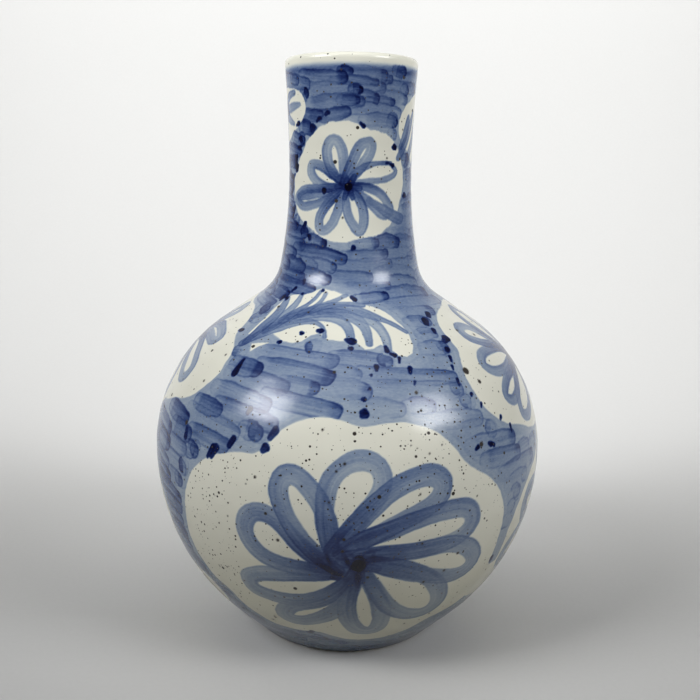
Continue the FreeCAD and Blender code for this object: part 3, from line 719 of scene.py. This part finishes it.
def closed_tube(name, points, row_count):
    """A closed mesh whose rows of points wrap both round the axis and from last to first."""
    low = np.arange(row_count)[:, None] * columns
    high = (np.arange(1, row_count + 1) % row_count)[:, None] * columns
    here = np.arange(columns)
    there = (here + 1) % columns
    quads = np.stack([low + here, low + there, high + there, high + here], axis=-1).reshape(-1, 4)
    mesh = bpy.data.meshes.new(name)
    mesh.vertices.add(len(points))
    mesh.loops.add(quads.size)
    mesh.polygons.add(len(quads))
    mesh.vertices.foreach_set("co", points.astype(np.float32).ravel())
    mesh.loops.foreach_set("vertex_index", quads.astype(np.int32).ravel())
    mesh.polygons.foreach_set("loop_start", np.arange(0, quads.size, 4, dtype=np.int32))
    mesh.polygons.foreach_set("use_smooth", np.ones(len(quads), bool))
    mesh.update(calc_edges=True)
    made = bpy.data.objects.new(name, mesh)
    bpy.context.scene.collection.objects.link(made)
    return made


def store(mesh, name, values):
    """Keeps one number per painted point; the hidden clay side gets zeros."""
    numbers = np.zeros(len(mesh.vertices), np.float32)
    numbers[:values.size] = values.ravel()
    mesh.attributes.new(name, "FLOAT", "POINT").data.foreach_set("value", numbers)


# The wall is never quite round: it swells outwards by a few tenths of a millimetre,
# with faint throwing rings.
swell = SWELL + SWELL * np.sin(2 * turn[None, :] + 0.6) * smooth_step(60, 130, radius)[:, None]
rings = np.sin(along * 0.42 + 2.0 * np.sin(along * 0.05))
swell = swell + RING_DEPTH * rings[:, None] + RING_DEPTH * wash_cloud
swell = swell * smooth_step(lip_crest - 4.0, lip_crest - 40.0, along)[:, None]
out_r, out_z = np.gradient(height, along)[:, None], -np.gradient(radius, along)[:, None]
outer = turned_points(radius[:, None] + swell * out_r, height[:, None] + swell * out_z)
skin = np.arange(rows - 1, -1, -SKIN_STEP)
inner = turned_points(radius[skin, None] + (swell[skin] - COAT) * out_r[skin],
                      height[skin, None] + (swell[skin] - COAT) * out_z[skin])
glaze = closed_tube("painted_glaze_coat", np.concatenate([outer, inner]), rows + len(skin))
glaze.data.set_sharp_from_angle(angle=math.radians(40))
store(glaze.data, "cobalt", np.maximum(cobalt, 0.0))
store(glaze.data, "speckle", speckle)
store(glaze.data, "iron", iron)
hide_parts("outer_glaze")
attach(glaze, "root")


# ---------------------------------------------------------------- materials

class Nodes:
    """Short hands for building one node material."""

    def __init__(self, name):
        self.material = bpy.data.materials.new(name)
        self.material.use_nodes = True
        self.tree = self.material.node_tree
        self.shader = self.tree.nodes["Principled BSDF"]
        self.place = self.tree.nodes.new("ShaderNodeTexCoord").outputs["Object"]

    def put(self, socket, value):
        if isinstance(value, bpy.types.NodeSocket):
            self.tree.links.new(value, socket)
        else:
            socket.default_value = value

    def math(self, operation, *values):
        node = self.tree.nodes.new("ShaderNodeMath")
        node.operation = operation
        for socket, value in zip(node.inputs, values):
            self.put(socket, value)
        return node.outputs[0]

    def attribute(self, name):
        node = self.tree.nodes.new("ShaderNodeAttribute")
        node.attribute_name = name
        return node.outputs["Fac"]

    def noise(self, scale, detail=3.0, stretch=(1.0, 1.0, 1.0)):
        mapping = self.tree.nodes.new("ShaderNodeMapping")
        mapping.inputs["Scale"].default_value = stretch
        self.tree.links.new(self.place, mapping.inputs["Vector"])
        node = self.tree.nodes.new("ShaderNodeTexNoise")
        node.inputs["Scale"].default_value = scale
        node.inputs["Detail"].default_value = detail
        self.tree.links.new(mapping.outputs["Vector"], node.inputs["Vector"])
        return node.outputs["Fac"]

    def fade(self, value, low, high):
        """1 below low, 0 above high."""
        node = self.tree.nodes.new("ShaderNodeMapRange")
        node.interpolation_type = "SMOOTHSTEP"
        for name, number in (("Value", value), ("From Min", low), ("From Max", high),
                             ("To Min", 1.0), ("To Max", 0.0)):
            self.put(node.inputs[name], number)
        return node.outputs["Result"]

    def mix(self, share, first, second):
        node = self.tree.nodes.new("ShaderNodeMix")
        node.data_type = "RGBA"
        self.put(node.inputs["Factor"], share)
        self.put(node.inputs["A"], first)
        self.put(node.inputs["B"], second)
        return node.outputs["Result"]

    def specks(self, cell, share, size, seed):
        """Round specks: at most one in each cell (m), kept for a share of the cells."""
        shift = self.tree.nodes.new("ShaderNodeMapping")
        shift.inputs["Location"].default_value = (seed, 2 * seed, 3 * seed)
        self.tree.links.new(self.place, shift.inputs["Vector"])
        cells = self.tree.nodes.new("ShaderNodeTexVoronoi")
        cells.inputs["Scale"].default_value = 1.0 / cell
        self.tree.links.new(shift.outputs["Vector"], cells.inputs["Vector"])
        split = self.tree.nodes.new("ShaderNodeSeparateColor")
        self.tree.links.new(cells.outputs["Color"], split.inputs[0])
        luck = self.math("POWER", split.outputs[1], 3.0)
        reach = self.math("MULTIPLY_ADD", luck, 1.6 * size / cell, 0.6 * size / cell)
        kept = self.math("LESS_THAN", split.outputs[0], share)
        inner = self.math("MULTIPLY", reach, 0.75)
        return self.math("MULTIPLY", self.fade(cells.outputs["Distance"], inner, reach), kept)

    def bump(self, depth, strength, distance):
        node = self.tree.nodes.new("ShaderNodeBump")
        node.inputs["Strength"].default_value = strength
        node.inputs["Distance"].default_value = distance
        self.put(node.inputs["Height"], depth)
        self.tree.links.new(node.outputs["Normal"], self.shader.inputs["Normal"])


WHITE_GLAZE = (0.79, 0.785, 0.685)
FOOT_PAINTED_SHADE = (0.33, 0.34, 0.34)     # painted shade: how much darker and warmer the glaze is drawn towards the foot
FOOT_SHADE_HEIGHTS = (0.03, 0.15)           # m: the painted shade is full below the first height and gone above the second
LIP_LIGHT_HEIGHTS = (0.384, 0.396)        # m: over these heights a painted light brightens the glaze towards the lip
LIP_PAINTED_LIGHT = 0.13                     # share by which the painted light makes it brighter there
COBALT_LOSS = (1.0, 0.79, 0.41)     # how fast each colour of light dies in the wash
IRON = (0.02, 0.014, 0.01, 1.0)


def glaze_material(name, painted):
    """Glossy off-white glaze over clay, with iron specks, under cobalt where it is painted, with painted
    shade towards the foot and a painted light towards the lip.
    """
    nodes = Nodes(name)
    mottle_and_lip_light = nodes.math("MULTIPLY_ADD", nodes.noise(22.0), 0.10, 0.95)
    height_split = nodes.tree.nodes.new("ShaderNodeSeparateXYZ")
    nodes.put(height_split.inputs[0], nodes.place)
    # Painted shade: the glaze is drawn darker and warmer towards the foot.
    foot_shade = nodes.fade(height_split.outputs[2], *FOOT_SHADE_HEIGHTS)
    # Painted light: the glaze is drawn brighter towards the lip, on top of its random mottle.
    below_lip = nodes.fade(height_split.outputs[2], *LIP_LIGHT_HEIGHTS)
    lip_light = nodes.math("MULTIPLY_ADD", below_lip, -LIP_PAINTED_LIGHT, 1.0 + LIP_PAINTED_LIGHT)
    mottle_and_lip_light = nodes.math("MULTIPLY", mottle_and_lip_light, lip_light)
    colour = nodes.tree.nodes.new("ShaderNodeCombineColor")
    wash = nodes.attribute("cobalt") if painted else 0.0
    grain = nodes.math("MULTIPLY_ADD", nodes.noise(420.0, 2.0, (1.0, 1.0, 2.5)), 0.5, 0.75)
    wash = nodes.math("MULTIPLY", wash, grain)
    # clay is the painted shade taken off each colour towards the foot.
    for socket, white, clay, loss in zip(colour.inputs, WHITE_GLAZE, FOOT_PAINTED_SHADE, COBALT_LOSS):
        light = nodes.math("EXPONENT", nodes.math("MULTIPLY", wash, -loss))
        body = nodes.math("MULTIPLY", nodes.math("MULTIPLY_ADD", foot_shade, -clay, white), mottle_and_lip_light)
        nodes.put(socket, nodes.math("MULTIPLY", light, body))
    share = nodes.attribute("speckle") if painted else 0.2
    fine = nodes.specks(cell=0.0022, share=share, size=0.0004, seed=0.11)
    fewer = nodes.math("MULTIPLY", share, 0.7)
    coarse = nodes.specks(cell=0.0072, share=fewer, size=0.00076, seed=0.37)
    spots = nodes.math("MAXIMUM", fine, coarse)
    if painted:
        spots = nodes.math("MAXIMUM", spots, nodes.attribute("iron"))
    nodes.put(nodes.shader.inputs["Base Color"], nodes.mix(spots, colour.outputs[0], IRON))
    nodes.put(nodes.shader.inputs["Roughness"], nodes.math("MULTIPLY_ADD", spots, 0.3, 0.2))
    nodes.shader.inputs["IOR"].default_value = 1.5
    pits = nodes.math("MULTIPLY", spots, 0.6)
    nodes.bump(nodes.math("SUBTRACT", nodes.noise(90.0, 2.0), pits), strength=0.25, distance=0.0004)
    return nodes.material


def clay_material(name, light, dark):
    """Bare fired clay with sand grains."""
    nodes = Nodes(name)
    patches = nodes.mix(nodes.noise(60.0, 5.0), light, dark)
    grains = nodes.specks(cell=0.0022, share=0.5, size=0.0004, seed=0.71)
    colour = nodes.mix(nodes.math("MULTIPLY", grains, 0.6), patches, IRON)
    nodes.put(nodes.shader.inputs["Base Color"], colour)
    nodes.shader.inputs["Roughness"].default_value = 0.85
    nodes.bump(nodes.math("ADD", nodes.noise(900.0, 4.0), grains), strength=0.5, distance=0.0003)
    return nodes.material


glaze.data.materials.append(glaze_material("painted_glaze", True))
carried_materials = {
    "liner_glaze": glaze_material("liner_glaze", False),
    "stoneware_clay": clay_material("stoneware_clay", (0.50, 0.42, 0.33, 1.0), (0.36, 0.28, 0.21, 1.0)),
    "luting_slip": clay_material("luting_slip", (0.44, 0.35, 0.27, 1.0), (0.33, 0.25, 0.18, 1.0)),
}
NODE_MATERIALS = {"inner_glaze": "liner_glaze", "belly_slip_seam": "luting_slip",
                  "neck_slip_seam": "luting_slip", "foot_slip_seam": "luting_slip"}
for name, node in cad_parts.items():
    node.data.materials.clear()
    node.data.materials.append(carried_materials[NODE_MATERIALS.get(name, "stoneware_clay")])


# ---------------------------------------------------------------- studio

def softbox(name, place, aim, width, tall, power, beam=180):
    """A rectangular light at a place, facing a point.  Places and sizes are in metres, power is
    in watts, and beam is how widely it spreads, in degrees."""
    data = bpy.data.lights.new(name, "AREA")
    data.shape = "RECTANGLE"
    data.size, data.size_y = width, tall
    data.energy = power
    data.spread = math.radians(beam)
    lamp = bpy.data.objects.new(name, data)
    bpy.context.scene.collection.objects.link(lamp)
    lamp.location = place
    lamp.rotation_euler = (Vector(aim) - Vector(place)).to_track_quat("-Z", "Y").to_euler()


def around(azimuth, elevation, distance):
    """A point seen from the middle of the vase's height; azimuth 0 is towards the camera."""
    a, e = math.radians(azimuth), math.radians(elevation)
    flat = distance * math.cos(e)
    return flat * math.sin(a), -flat * math.cos(a), 0.2 + distance * math.sin(e)


NECK = (0, 0, 0.32)
BODY = (0, 0, 0.2)
softbox("left_softbox", around(-56, 37, 1.15), NECK, width=0.52, tall=0.46, power=1.28, beam=60)
softbox("right_softbox", around(56, 32, 1.15), NECK, width=0.52, tall=0.46, power=1.0, beam=60)
softbox("overhead_softbox", around(0, 74, 1.6), BODY, width=1.3, tall=1.1, power=3.1)
softbox("backdrop_light", (0, 0.30, 0.85), (0, 1.1, 0.55), width=2.6, tall=0.2, power=18)

world = bpy.data.worlds.new("studio")
bpy.context.scene.world = world
world.use_nodes = True
world.node_tree.nodes["Background"].inputs["Color"].default_value = (1.0, 1.0, 1.0, 1.0)
world.node_tree.nodes["Background"].inputs["Strength"].default_value = 0.05

# The floor is a paper sweep that curves up behind the vase.
SWEEP_FRONT = -1.8          # m
SWEEP_FLAT_END = 0.5
SWEEP_BEND = 0.6            # radius of the curve up
SWEEP_TOP = 2.0
SWEEP_HALF_WIDTH = 2.2
SWEEP = [(SWEEP_FRONT, 0.0), (SWEEP_FLAT_END, 0.0)]
SWEEP += [(SWEEP_FLAT_END + SWEEP_BEND * math.sin(a), SWEEP_BEND - SWEEP_BEND * math.cos(a))
          for a in np.linspace(0.06, math.pi / 2, 26)]
SWEEP += [(SWEEP_FLAT_END + SWEEP_BEND, SWEEP_TOP)]
sweep_mesh = bpy.data.meshes.new("floor")
sweep_mesh.from_pydata([(x, y, z) for y, z in SWEEP for x in (-SWEEP_HALF_WIDTH, SWEEP_HALF_WIDTH)], [],
                       [(2 * k, 2 * k + 1, 2 * k + 3, 2 * k + 2) for k in range(len(SWEEP) - 1)])
sweep_mesh.shade_smooth()
floor = bpy.data.objects.new("floor", sweep_mesh)
bpy.context.scene.collection.objects.link(floor)
paper = Nodes("paper_sweep")
fibres = paper.mix(paper.noise(300.0, 2.0), (0.65, 0.65, 0.64, 1.0), (0.68, 0.68, 0.67, 1.0))
paper.put(paper.shader.inputs["Base Color"], fibres)
paper.shader.inputs["Roughness"].default_value = 0.9
sweep_mesh.materials.append(paper.material)

CAMERA_PLACE = (0.0013, -0.620, 0.324)      # m
CAMERA_LENS = 45.04                         # mm
LOOK_DOWN = math.radians(11.34)
ROLL = math.radians(0.70)
camera_data = bpy.data.cameras.new("camera")
camera_data.sensor_width = 36.0
camera_data.lens = CAMERA_LENS
camera = bpy.data.objects.new("camera", camera_data)
bpy.context.scene.collection.objects.link(camera)
look = Matrix.Rotation(math.pi / 2 - LOOK_DOWN, 4, "X") @ Matrix.Rotation(ROLL, 4, "Z")
camera.matrix_world = Matrix.Translation(CAMERA_PLACE) @ look
bpy.context.scene.camera = camera
bpy.context.scene.view_settings.view_transform = "Standard"
